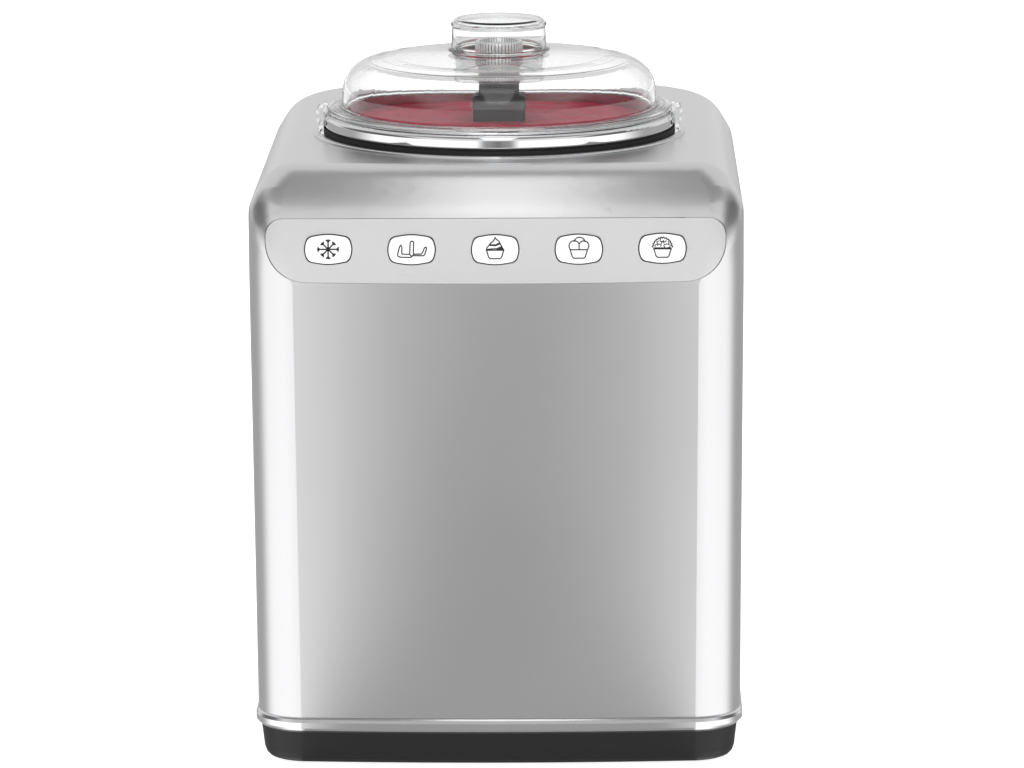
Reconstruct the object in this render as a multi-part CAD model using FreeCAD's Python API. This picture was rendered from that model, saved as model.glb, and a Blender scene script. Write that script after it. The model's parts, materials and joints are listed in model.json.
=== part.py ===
"""Compressor ice cream maker: a satin metal tower with a clear domed lid over a deep bowl, five push buttons on a
wrap-around panel, a bottom-driven churning paddle, and its refrigeration and drive parts inside.

Millimetres, +Z up, front towards -Y. Heights in this file are measured from a datum level, and every part is saved
raised by DATUM_RISE, so that the saved origin is on the table, under the middle of the base.
"""
import FreeCAD
import Part
import math
import os
from FreeCAD import Placement, Rotation, Vector

# ---------------------------------------------------------------- driving dimensions
BODY_WIDTH = 260.0
BODY_DEPTH = 354.0
DECK_Z = 316.8            # top face of the housing
DATUM_RISE = 2.8          # the datum that heights are measured from is this far above the table
FOOT_H = 1.5              # rubber feet stand this far below the tray
TRAY_BOTTOM_Z = FOOT_H - DATUM_RISE
TRAY_TOP_Z = 16.2
TRIM_TOP_Z = 24.7
TRIM_PROUD = 1.3
TAPER = 1.8               # each side is this much further in at the foot than at the shoulder
WALL = 2.4
FRONT_BOW_R = 1430.0      # the front face is bowed in plan
FRONT_CORNER_R = 26.0
BACK_CORNER_R = 76.0
FRONT_ROLL = (30.0, 60.0)   # depth and height of the roll from the front face up to the deck
SHOULDER = (13.0, 21.0)     # width and height of the softened slope along the sides and back
SHOULDER_SOFT_R = 20.0
ROLL_CORNER_R = 20.0        # rounding where the front roll meets the sides
ROLL_CORNER_START = 7.0     # and how far up the roll it starts, since lower down the two surfaces all but run together

BOWL_Y = -32.0            # the bowl, lid, paddle and shaft share this vertical axis
RIM_R = 94.9              # outside of the polished bowl rim
RIM_Z = 327.7             # top of that rim
BUTTON_PITCH = 43.5
BUTTON_Z = 275.8
BUTTON_SIZE = (25.0, 16.0)
BUTTON_TRAVEL = 1.2
PANEL_HALF_WIDTH = 120.0

SHAFT_R = 4.0
RUN = 0.06                # radial running clearance of a shaft in its bush
GEAR_MODULE = 1.5
OUTPUT_TEETH = 60
IDLER_SMALL_TEETH = 14
IDLER_BIG_TEETH = 42
PINION_TEETH = 12
BACKLASH = 0.25

HALF_W = BODY_WIDTH / 2
FRONT_Y = -BODY_DEPTH / 2
BACK_Y = BODY_DEPTH / 2
FRONT_ROLL_Z = DECK_Z - FRONT_ROLL[1]
IDLER_Y = BOWL_Y - GEAR_MODULE * (OUTPUT_TEETH + IDLER_SMALL_TEETH) / 2
PINION_X = GEAR_MODULE * (IDLER_BIG_TEETH + PINION_TEETH) / 2
UP = Vector(0, 0, 1)


# ---------------------------------------------------------------- shape helpers
def box(x0, x1, y0, y1, z0, z1):
    return Part.makeBox(x1 - x0, y1 - y0, z1 - z0, Vector(x0, y0, z0))


def rod(r, z0, z1, x=0.0, y=0.0):
    return Part.makeCylinder(r, z1 - z0, Vector(x, y, z0))


def rod_y(r, y0, y1, x, z):
    return Part.makeCylinder(r, y1 - y0, Vector(x, y0, z), Vector(0, 1, 0))


def tube(outer, inner, z0, z1, x=0.0, y=0.0):
    return rod(outer, z0, z1, x, y).cut(rod(inner, z0 - 1, z1 + 1, x, y))


def rounded_wire(corners):
    """Closed wire in the XY plane through corners (x, y, radius), each rounded by a tangent arc."""
    edges = []
    ends = []
    count = len(corners)
    for i in range(count):
        here = Vector(corners[i][0], corners[i][1], 0)
        back = Vector(corners[i - 1][0], corners[i - 1][1], 0) - here
        on = Vector(corners[(i + 1) % count][0], corners[(i + 1) % count][1], 0) - here
        radius = corners[i][2] if len(corners[i]) > 2 else 0.0
        if radius <= 0:
            ends.append((here, here, None))
            continue
        half = back.getAngle(on) / 2
        reach = radius / math.tan(half)
        start = here + back.normalize() * reach
        stop = here + on.normalize() * reach
        middle_dir = (back + on).normalize()
        middle = here + middle_dir * (radius / math.sin(half) - radius)
        ends.append((start, stop, Part.Arc(start, middle, stop).toShape()))
    for i in range(count):
        if ends[i][2]:
            edges.append(ends[i][2])
        a, b = ends[i][1], ends[(i + 1) % count][0]
        if a.distanceToPoint(b) > 1e-6:
            edges.append(Part.makeLine(a, b))
    return Part.Wire(edges)


def prism(corners, z0, z1):
    face = Part.Face(rounded_wire(corners))
    face.translate(Vector(0, 0, z0))
    return face.extrude(Vector(0, 0, z1 - z0))


def turned(profile, y=0.0):
    """Solid of revolution about the vertical axis at (0, y); profile is a list of (radius, z, rounding)."""
    face = Part.Face(rounded_wire(profile))
    face.rotate(Vector(0, 0, 0), Vector(1, 0, 0), 90)
    solid = face.revolve(Vector(0, 0, 0), UP, 360)
    solid.translate(Vector(0, y, 0))
    return solid


def pipe(points, radius, bend):
    """Round bar or tube along straight runs joined by tangent arcs of radius bend."""
    vectors = [Vector(*p) for p in points]
    edges = []
    last = vectors[0]
    for i in range(1, len(vectors) - 1):
        here = vectors[i]
        back = (vectors[i - 1] - here).normalize()
        on = (vectors[i + 1] - here).normalize()
        half = back.getAngle(on) / 2
        reach = bend / math.tan(half)
        start = here + back * reach
        stop = here + on * reach
        middle = here + (back + on).normalize() * (bend / math.sin(half) - bend)
        if last.distanceToPoint(start) > 1e-6:
            edges.append(Part.makeLine(last, start))
        edges.append(Part.Arc(start, middle, stop).toShape())
        last = stop
    edges.append(Part.makeLine(last, vectors[-1]))
    path = Part.Wire(edges)
    section = Part.Wire(Part.makeCircle(radius, vectors[0], vectors[1] - vectors[0]))
    return path.makePipeShell([section], True, True)


def fuse(*shapes):
    return shapes[0].fuse(list(shapes[1:])).removeSplitter()


def group(shapes):
    """Separate solids kept together in one node."""
    return Part.makeCompound(shapes)


def save(name, shape):
    solids = shape.Solids
    assert solids and all(s.isValid() and s.Volume > 0 for s in solids), name
    kept = solids[0] if len(solids) == 1 else Part.makeCompound(solids)
    kept.translated(Vector(0, 0, DATUM_RISE)).exportStep("parts/" + name + ".step")


# ---------------------------------------------------------------- the body's outer form
def front_inset(z):
    """How far the front has rolled back at height z."""
    if z <= FRONT_ROLL_Z:
        return 0.0
    rise = min(1.0, (z - FRONT_ROLL_Z) / FRONT_ROLL[1])
    return FRONT_ROLL[0] * (1 - math.sqrt(1 - rise * rise))


def outline(z, inset=0.0):
    """Plan outline of the body at height z, moved in by inset: a bowed front, tight front corners, a round back."""
    taper = TAPER * max(0.0, 1 - z / FRONT_ROLL_Z)
    w = HALF_W - taper - inset
    y_front = FRONT_Y + inset
    y_back = BACK_Y - inset
    bow_r = FRONT_BOW_R - inset
    r_front = FRONT_CORNER_R - inset
    r_back = BACK_CORNER_R - inset
    bow_centre = Vector(0, y_front + bow_r, 0)
    corner_y = bow_centre.y - math.sqrt((bow_r - r_front) ** 2 - (w - r_front) ** 2)

    def mirror(v):
        return Vector(-v.x, v.y, v.z)

    corner = Vector(w - r_front, corner_y, 0)
    bow_end = bow_centre + (corner - bow_centre).normalize() * bow_r
    corner_mid = corner + ((bow_end - corner).normalize() + Vector(1, 0, 0)).normalize() * r_front
    side_front = Vector(w, corner_y, 0)
    side_back = Vector(w, y_back - r_back, 0)
    back_mid = Vector(w - r_back, y_back - r_back, 0) + Vector(1, 1, 0).normalize() * r_back
    back_end = Vector(w - r_back, y_back, 0)
    wire = Part.Wire([
        Part.Arc(mirror(bow_end), Vector(0, y_front, 0), bow_end).toShape(),
        Part.Arc(bow_end, corner_mid, side_front).toShape(),
        Part.makeLine(side_front, side_back),
        Part.Arc(side_back, back_mid, back_end).toShape(),
        Part.makeLine(back_end, mirror(back_end)),
        Part.Arc(mirror(back_end), mirror(back_mid), mirror(side_back)).toShape(),
        Part.makeLine(mirror(side_back), mirror(side_front)),
        Part.Arc(mirror(side_front), mirror(corner_mid), mirror(bow_end)).toShape(),
    ])
    wire.translate(Vector(0, 0, z))
    return wire


def front_roll_form(inset, z_low):
    """Everything behind the front face and its roll, turned about the axis that the front is bowed round."""
    depth, height = FRONT_ROLL[0], FRONT_ROLL[1] - inset
    r = FRONT_BOW_R - inset
    top = DECK_Z - inset
    back_r = r - BODY_DEPTH - 60
    ellipse = Part.Ellipse(Vector(0, height, 0), Vector(depth, 0, 0), Vector(0, 0, 0))
    roll = Part.ArcOfEllipse(ellipse, 0, math.pi / 2).toShape()
    roll.translate(Vector(r - depth, FRONT_ROLL_Z, 0))
    corners = [Vector(r - depth, top, 0), Vector(back_r, top, 0), Vector(back_r, z_low, 0), Vector(r, z_low, 0),
               Vector(r, FRONT_ROLL_Z, 0)]
    sides = [Part.makeLine(corners[i], corners[i + 1]) for i in range(4)]
    face = Part.Face(Part.Wire([roll] + sides))
    face.rotate(Vector(0, 0, 0), Vector(1, 0, 0), 90)
    face.rotate(Vector(0, 0, 0), UP, -99)
    form = face.revolve(Vector(0, 0, 0), UP, 18)
    form.translate(Vector(0, FRONT_Y + FRONT_BOW_R, 0))
    return form


def body_form(inset, z_low):
    """The body's outer form moved in by inset all round, from z_low up to the deck."""
    top = DECK_Z - inset
    width, height = SHOULDER
    upper = Part.Face(outline(FRONT_ROLL_Z, inset)).extrude(Vector(0, 0, top - FRONT_ROLL_Z))
    rim = [e for e in upper.Edges if e.BoundBox.ZMin > top - 0.01]
    upper = upper.makeChamfer(height, width, rim)
    slope = [e for e in upper.Edges if e.BoundBox.ZLength < 0.01 and
             (e.BoundBox.ZMin > top - 0.01 or FRONT_ROLL_Z + 1 < e.BoundBox.ZMin < top - 1)]
    upper = upper.makeFillet(SHOULDER_SOFT_R, slope)
    form = upper
    if z_low < FRONT_ROLL_Z:
        form = Part.makeLoft([outline(z_low, inset), outline(FRONT_ROLL_Z, inset)], True, True).fuse(upper)
    form = form.common(front_roll_form(inset, z_low - 1))
    corners = []
    for edge in form.Edges:
        bounds = edge.BoundBox
        at_front = bounds.YMax < FRONT_Y + 77 and min(abs(bounds.XMin), abs(bounds.XMax)) > 60
        if at_front and bounds.ZMax > FRONT_ROLL_Z + 1 and bounds.ZLength > 1:
            corners.append(edge)
    rounded = form.makeFillet(ROLL_CORNER_R - inset, corners)
    below = box(-HALF_W - 5, HALF_W + 5, FRONT_Y - 5, BACK_Y + 5, z_low - 5, FRONT_ROLL_Z + ROLL_CORNER_START)
    return form.common(below).fuse(rounded.cut(below))


def panel_placement(u=0.0):
    """Local frame of the button panel at u along it: local X is across, Y up the panel, Z out of it."""
    rise = BUTTON_Z - FRONT_ROLL_Z
    depth, height = FRONT_ROLL
    slope = (depth / height) ** 2 * rise / (depth * math.sqrt(1 - (rise / height) ** 2))
    y = FRONT_Y + front_inset(BUTTON_Z) + u * u / (2 * FRONT_BOW_R)
    return Placement(Vector(u, y, BUTTON_Z), Rotation(Vector(1, 0, 0), 90 - math.degrees(math.atan(slope))))


def panel_outline(grow):
    return [(-PANEL_HALF_WIDTH - grow, 16.2 + grow, 9), (-PANEL_HALF_WIDTH - grow, -16.4 - grow, 21.5),
            (0, -18.4 - grow, 5500), (PANEL_HALF_WIDTH + grow, -16.4 - grow, 21.5),
            (PANEL_HALF_WIDTH + grow, 16.2 + grow, 9)]


def button_outline(grow):
    """A television-screen shape: four bowed sides with round corners."""
    half_w = BUTTON_SIZE[0] / 2 + grow
    half_h = BUTTON_SIZE[1] / 2 + grow
    bow = 1.9
    side_x, side_y = half_w - bow, half_h - bow
    return [(0, half_h, 30), (-side_x, side_y, 4), (-half_w, 0, 10), (-side_x, -side_y, 4),
            (0, -half_h, 30), (side_x, -side_y, 4), (half_w, 0, 10), (side_x, side_y, 4)]


def on_panel(shape, u=0.0):
    shape.Placement = panel_placement(u).multiply(shape.Placement)
    return shape


BUTTONS = ["button_cool", "button_churn", "button_gelato", "button_ice_cream", "button_granita"]
BUTTON_U = [BUTTON_PITCH * (i - 2) for i in range(len(BUTTONS))]
BOARD_W = (-13.4, -11.8)      # control board faces, along the panel's normal
BOARD_SCREW_U = (-98.0, 98.0)
BOARD_SCREW_V = -14.0
SWITCH_TOP_W = -10.3
POWER_BOARD_X = -93.6
FASCIA_T = 1.0
PANEL_GAP = 0.35              # groove round the panel
BUTTON_GAP = 0.6              # gap round each button
REAR_OPENING = (-43.0, 43.0, 40.0, 236.0)     # x and z limits of the opening behind the rear panel


# ---------------------------------------------------------------- casing
def shell_lugs():
    """What is moulded inside the shell: pillars for the control board, feet for the tray screws, a board rail."""
    lugs = []
    for u in BOARD_SCREW_U:
        pillar = box(u - 4, u + 4, BOARD_SCREW_V - 3.4, BOARD_SCREW_V + 3.4, BOARD_W[1], -1.0)
        lugs.append(on_panel(pillar.cut(rod(1.25, BOARD_W[1] - 1, -7, u, BOARD_SCREW_V))))
    for x, y in TRAY_SCREWS:
        x0, x1 = sorted((x - math.copysign(6, x), math.copysign(HALF_W, x)))
        lug = box(x0, x1, y - 7, y + 7, TRIM_TOP_Z + 0.3, TRIM_TOP_Z + 9.3)
        lugs.append(lug.cut(rod(1.8, TRIM_TOP_Z - 1, TRIM_TOP_Z + 7.3, x, y)))
    for y in (100.0, 138.0):
        lugs.append(box(-HALF_W, POWER_BOARD_X, y - 2, y + 2, 190, 282))
    return lugs


def housing_shell():
    outer = body_form(0.0, TRIM_TOP_Z)
    inner = body_form(WALL, TRIM_TOP_Z - 1)
    shell = outer.cut(inner)
    keep = body_form(WALL / 2, TRIM_TOP_Z)
    shell = shell.fuse([lug.common(keep) for lug in shell_lugs()])
    collar = tube(101.0, 97.2, DECK_Z - 0.6, DECK_Z + 1.2, 0, BOWL_Y)
    collar = collar.makeFillet(0.9, [e for e in collar.Edges if e.BoundBox.ZMin > DECK_Z + 1])
    shell = shell.fuse(collar)
    shell = shell.cut(rod(91.0, DECK_Z - 20, DECK_Z + 5, 0, BOWL_Y))
    seat = body_form(-1.0, FRONT_ROLL_Z - 30).cut(body_form(FASCIA_T, FRONT_ROLL_Z - 31))
    shell = shell.cut(on_panel(prism(panel_outline(PANEL_GAP), -25, 8)).common(seat))
    for u in BUTTON_U:
        shell = shell.cut(on_panel(prism(button_outline(BUTTON_GAP + 0.45), -8, 3), u))
    x0, x1, z0, z1 = REAR_OPENING
    shell = shell.cut(box(x0, x1, BACK_Y - 10, BACK_Y + 5, z0, z1))
    for x, z in rear_screw_places():
        shell = shell.cut(rod_y(1.8, BACK_Y - 8, BACK_Y + 2, x, z))
    return shell


def control_fascia():
    """Wrap-around panel let into the front roll, one millimetre thick and flush with the housing."""
    layer = body_form(0.0, FRONT_ROLL_Z - 30).cut(body_form(FASCIA_T, FRONT_ROLL_Z - 31))
    fascia = on_panel(prism(panel_outline(0.0), -25, 8)).common(layer)
    for u in BUTTON_U:
        fascia = fascia.cut(on_panel(prism(button_outline(BUTTON_GAP), -8, 3), u))
    return fascia


def button(u):
    """Cap proud of the fascia, a retaining flange behind the wall, and a stem to its switch."""
    bow = u * u / (2 * FRONT_BOW_R)
    flange_top = -3.3 - bow / 2
    cap = prism(button_outline(0.0), flange_top - 0.5, 0.9)
    front_edges = [e for e in cap.Edges if e.BoundBox.ZMin > 0.8]
    cap = cap.makeFillet(0.5, front_edges)
    flange = prism(button_outline(BUTTON_GAP + 1.2), flange_top - 1.2, flange_top)
    stem = rod(2.0, SWITCH_TOP_W + bow + BUTTON_TRAVEL + 0.1, flange_top - 1.0)
    return on_panel(fuse(cap, flange, stem), u)


def control_board():
    board = prism([(-104, 11, 2), (-104, -18, 2), (104, -18, 2), (104, 11, 2)], *BOARD_W)
    for u in BOARD_SCREW_U:
        board = board.cut(rod(1.7, BOARD_W[0] - 1, BOARD_W[1] + 1, u, BOARD_SCREW_V))
    chip = box(-24, -12, -15, -9, BOARD_W[0] - 1.6, BOARD_W[0])
    connector = box(48, 66, -15, -8, BOARD_W[0] - 6, BOARD_W[0])
    return on_panel(fuse(board, chip, connector))


def tact_switches():
    switches = []
    for u in BUTTON_U:
        can = box(u - 3, u + 3, -3, 3, BOARD_W[1], SWITCH_TOP_W - 0.4)
        switches.append(on_panel(fuse(can, rod(1.7, SWITCH_TOP_W - 0.4, SWITCH_TOP_W, u, 0))))
    return group(switches)


def trim_ring():
    """Rounded band between the housing and the base tray."""
    mid = (TRAY_TOP_Z + TRIM_TOP_Z) / 2
    heights = [TRAY_TOP_Z, TRAY_TOP_Z + 1.2, mid - 1.5, mid + 1.5, TRIM_TOP_Z - 1.2, TRIM_TOP_Z]
    bulge = [1.4, 0.1, -TRIM_PROUD, -TRIM_PROUD, -0.5, 0.6]
    bands = [Part.makeLoft([outline(heights[i], bulge[i]), outline(heights[i + 1], bulge[i + 1])], True, True)
             for i in range(5)]
    inner = Part.Face(outline(TRAY_TOP_Z - 1, 4.0)).extrude(Vector(0, 0, 12))
    return fuse(*bands).cut(inner)


FOOT_PLACES = [(-96, -142), (96, -142), (-82, 118), (82, 118)]
TRAY_SCREWS = [(-110, -90), (110, -90), (-110, 70), (110, 70)]


def base_tray():
    """Dark plastic pan with drafted walls, a soft bottom edge, air slots and pads for what stands on it."""
    z0 = TRAY_BOTTOM_Z
    levels = [(z0, 7.2), (z0 + 0.8, 5.2), (z0 + 2.4, 3.8), (z0 + 5.0, 2.9), (TRAY_TOP_Z, 1.5)]
    bands = [Part.makeLoft([outline(*levels[i]), outline(*levels[i + 1])], True, True)
             for i in range(len(levels) - 1)]
    tray = fuse(*bands)
    hollow = Part.makeLoft([outline(z0 + 3.0, 9.0), outline(TRAY_TOP_Z + 1, 5.0)], True, True)
    tray = tray.cut(hollow)
    floor = z0 + 3.0
    for x, y in TRAY_SCREWS:
        tray = tray.fuse(rod(5, z0 + 1, TRIM_TOP_Z + 0.3, x, y))
        tray = tray.cut(rod(1.9, z0 - 1, TRIM_TOP_Z + 1, x, y)).cut(rod(3.6, z0 - 1, z0 + 2, x, y))
    for x, y in POSTS:
        tray = tray.fuse(rod(7, floor - 0.5, floor + 3, x, y))
    for i in range(9):
        x = -48 + 12 * i
        slot = prism([(x - 2, 112, 1.9), (x + 2, 112, 1.9), (x + 2, 150, 1.9), (x - 2, 150, 1.9)],
                     z0 - 1, floor + 1)
        tray = tray.cut(slot)
    for x, y in FOOT_PLACES:
        tray = tray.cut(rod(8.0, z0 - 1, z0 + 1.5, x, y))
    return tray.removeSplitter()


def rubber_feet():
    feet = []
    for x, y in FOOT_PLACES:
        foot = rod(8.0, -DATUM_RISE, TRAY_BOTTOM_Z + 1.5, x, y)
        feet.append(foot.makeFillet(0.6, [e for e in foot.Edges if e.BoundBox.ZMax < 0.1 - DATUM_RISE]))
    return group(feet)


def rear_screw_places():
    x0, x1, z0, z1 = REAR_OPENING
    return [(x, z) for x in (x0 - 5, x1 + 5) for z in (z0 + 8, (z0 + z1) / 2, z1 - 8)]


GLAND_X, GLAND_Z, GLAND_R = -22.0, 58.0, 7.0
ROCKER_X, ROCKER_Z = 20.0, 58.0
ROCKER_HOLE = (9.0, 12.5)      # half width and half height of the switch's cut-out


def rear_panel():
    """Louvred plate screwed behind the opening in the round back."""
    x0, x1, z0, z1 = REAR_OPENING
    face_y = BACK_Y - WALL
    plate = box(x0 - 11, x1 + 11, face_y - 2.0, face_y, z0 - 6, z1 + 6)
    inner = Part.Face(outline(z0 - 10, WALL + 0.1)).extrude(Vector(0, 0, 300))
    plate = plate.common(inner)
    plate = plate.fuse(box(x0 + 0.2, x1 - 0.2, face_y - 1.0, BACK_Y - 0.6, z0 + 0.2, z1 - 0.2))
    for i in range(13):
        z = 92 + 11 * i
        slot = prism([(x0 + 8, z - 2.2, 2.1), (x1 - 8, z - 2.2, 2.1), (x1 - 8, z + 2.2, 2.1), (x0 + 8, z + 2.2, 2.1)],
                     -BACK_Y - 2, -BACK_Y + 8)
        slot.rotate(Vector(0, 0, 0), Vector(1, 0, 0), 90)
        plate = plate.cut(slot)
    for x, z in rear_screw_places():
        plate = plate.cut(rod_y(1.3, face_y - 4, face_y + 2, x, z))
    plate = plate.cut(rod_y(GLAND_R, BACK_Y - 8, BACK_Y + 2, GLAND_X, GLAND_Z))
    half_w, half_h = ROCKER_HOLE
    plate = plate.cut(box(ROCKER_X - half_w, ROCKER_X + half_w, BACK_Y - 8, BACK_Y + 2,
                          ROCKER_Z - half_h, ROCKER_Z + half_h))
    return plate


def screw(x, z, y_head, length, head_r=3.1, shank_r=1.2):
    """Pan-head screw driven in along -Y, its head's flat at y_head, with a cross recess."""
    head = rod_y(head_r, y_head, y_head + 1.2, x, z)
    head = head.makeFillet(0.6, [e for e in head.Edges if e.BoundBox.YMin > y_head + 1.1])
    shank = rod_y(shank_r, y_head - length, y_head, x, z)
    cross = box(x - 1.9, x + 1.9, y_head + 0.5, y_head + 3, z - 0.4, z + 0.4)
    cross = cross.fuse(box(x - 0.4, x + 0.4, y_head + 0.5, y_head + 3, z - 1.9, z + 1.9))
    return head.fuse(shank).cut(cross)


def rear_screws():
    shapes = []
    for x, z in rear_screw_places():
        shapes.append(screw(x, z, BACK_Y, 5.5, shank_r=1.25))
    return group(shapes)


def mains_gland():
    """Flanged bush in the rear panel that a 7 mm mains lead passes through."""
    flange = rod_y(9.5, BACK_Y - 0.6, BACK_Y + 1.2, GLAND_X, GLAND_Z)
    flange = flange.makeFillet(0.8, [e for e in flange.Edges if e.BoundBox.YMin > BACK_Y + 1.1])
    body = rod_y(GLAND_R, BACK_Y - 9.0, BACK_Y - 0.6, GLAND_X, GLAND_Z)
    return flange.fuse(body).cut(rod_y(3.6, BACK_Y - 14, BACK_Y + 3, GLAND_X, GLAND_Z))


ROCKER_AXIS_Y = BACK_Y - 5.5


def rocker_housing():
    half_w, half_h = ROCKER_HOLE
    bezel = box(ROCKER_X - half_w - 1.6, ROCKER_X + half_w + 1.6, BACK_Y - 0.6, BACK_Y + 1.0,
                ROCKER_Z - half_h - 1.6, ROCKER_Z + half_h + 1.6)
    body = box(ROCKER_X - half_w, ROCKER_X + half_w, BACK_Y - 12.5, BACK_Y - 0.6,
               ROCKER_Z - half_h, ROCKER_Z + half_h)
    well = box(ROCKER_X - half_w + 1.5, ROCKER_X + half_w - 1.5, BACK_Y - 11, BACK_Y + 3,
               ROCKER_Z - half_h + 1.5, ROCKER_Z + half_h - 1.5)
    pins = Part.makeCylinder(1.5 + RUN, 2 * half_w + 4, Vector(ROCKER_X - half_w - 2, ROCKER_AXIS_Y, ROCKER_Z),
                             Vector(1, 0, 0))
    return bezel.fuse(body).cut(well).cut(pins.common(body))


def power_rocker():
    """Rocker with two pivot pins, at rest with its lower half pressed in."""
    half_w = ROCKER_HOLE[0] - 1.8
    half_h = ROCKER_HOLE[1] - 2.4
    y = ROCKER_AXIS_Y
    section = [(half_h, 1.5, 1), (half_h - 0.6, 5.6, 0.8), (0, 3.4, 12), (-half_h + 0.6, 5.6, 0.8),
               (-half_h, 1.5, 1), (0, -3.6, 4)]
    rocker = prism(section, -half_w, half_w)
    rocker.rotate(Vector(0, 0, 0), Vector(0, 1, 0), -90)
    rocker.translate(Vector(ROCKER_X, y, ROCKER_Z))
    pins = Part.makeCylinder(1.5, 2 * ROCKER_HOLE[0] - 0.6, Vector(ROCKER_X - ROCKER_HOLE[0] + 0.3, y, ROCKER_Z),
                             Vector(1, 0, 0))
    rocker = rocker.fuse(pins)
    rocker.rotate(Vector(ROCKER_X, y, ROCKER_Z), Vector(1, 0, 0), ROCKER_TILT)
    return rocker


ROCKER_TILT = -9.0


# ---------------------------------------------------------------- bowls, lid and paddle
def bowl_gasket():
    return tube(95.4, 89.4, DECK_Z, RIM_Z - 7.9, 0, BOWL_Y)


def fixed_bowl():
    """Cooled stainless bowl with a polished rolled rim and a central tube for the drive shaft."""
    profile = [(89.0, 319.8, 0), (94.0, 319.8, 0.6), (RIM_R, 321.6, 1.0), (94.7, RIM_Z, 2.4), (87.5, RIM_Z, 0.5),
               (83.0, 204.5, 14), (8.6, 204.5, 2), (7.6, 321.0, 0.4), (6.0, 321.0, 0), (6.0, 197.0, 0),
               (10.0, 197.0, 0), (10.0, 203.0, 0), (84.5, 203.0, 15.5)]
    return turned(profile, BOWL_Y)


def removable_bowl():
    """Lift-out bowl with a flat lip and its own cone over the shaft tube."""
    profile = [(90.5, 327.9, 0.4), (90.5, 329.4, 0.7), (84.8, 329.4, 0.7), (80.3, 207.5, 13), (10.9, 207.5, 3),
               (10.0, 330.6, 1.0), (5.0, 330.6, 0), (5.0, 329.0, 0), (8.7, 329.0, 0), (9.4, 206.0, 0),
               (81.8, 206.0, 14.5), (86.3, 327.9, 0.4)]
    return turned(profile, BOWL_Y)


LUG_HALF = 9.0


def lid():
    """Clear dome with a ribbed flange, a round chute collar in the middle and a finger lug at each side."""
    profile = [(91.2, 328.3, 0), (93.8, 328.3, 0.4), (93.8, 330.9, 0.7), (85.7, 331.4, 1.2), (84.2, 354.0, 18),
               (60.0, 358.0, 60), (23.8, 360.0, 0.8), (23.6, 363.8, 0.4), (22.2, 363.8, 0.4), (22.0, 349.0, 0.4),
               (23.3, 349.0, 0.4), (24.6, 358.0, 0.8), (60.0, 356.0, 60), (82.3, 352.2, 16), (83.7, 329.8, 0.5),
               (91.2, 329.8, 0)]
    dome = turned(profile, BOWL_Y)
    for radius in (88.0, 90.4):
        dome = dome.fuse(tube(radius + 0.5, radius - 0.3, 330.6, 331.7, 0, BOWL_Y))
    skirt = tube(98.0, 95.7, 319.6, 330.9, 0, BOWL_Y).fuse(tube(98.0, 92.5, 328.9, 330.9, 0, BOWL_Y))
    for side in (-1, 1):
        lug = skirt.common(box(*sorted((side * 80, side * 99)), BOWL_Y - LUG_HALF, BOWL_Y + LUG_HALF, 315, 335))
        keep = box(*sorted((side * 96.2, side * 102)), BOWL_Y - 12, BOWL_Y + 12, 315, 335)
        for z in (324.9, 329.0):
            rib = Part.makeCylinder(1.9, 2 * LUG_HALF - 2, Vector(side * 97.4, BOWL_Y - LUG_HALF + 1, z),
                                    Vector(0, 1, 0))
            lug = lug.fuse(rib.common(keep))
        dome = dome.fuse(lug)
    return dome


def lid_cap():
    """Clear cap over the lid's chute, usable as a grip."""
    profile = [(24.2, 361.0, 0.3), (27.6, 361.0, 0.4), (27.6, 362.0, 0.5), (25.8, 362.7, 0.5), (25.2, 374.2, 0.3),
               (25.9, 374.9, 0.3), (25.9, 375.9, 0.4), (23.4, 378.6, 1.6), (0, 378.6, 0), (0, 376.9, 0),
               (22.6, 376.9, 1.5), (24.1, 373.6, 1.0)]
    return turned(profile, BOWL_Y)


HEX_FLAT = 3.5            # half the drive hexagon's width across flats


def hexagon(half_flat, z0, z1):
    r = half_flat / math.cos(math.radians(30))
    corners = [(r * math.cos(math.radians(60 * i)), r * math.sin(math.radians(60 * i))) for i in range(6)]
    prism_shape = prism(corners, z0, z1)
    prism_shape.translate(Vector(0, BOWL_Y, 0))
    return prism_shape


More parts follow.
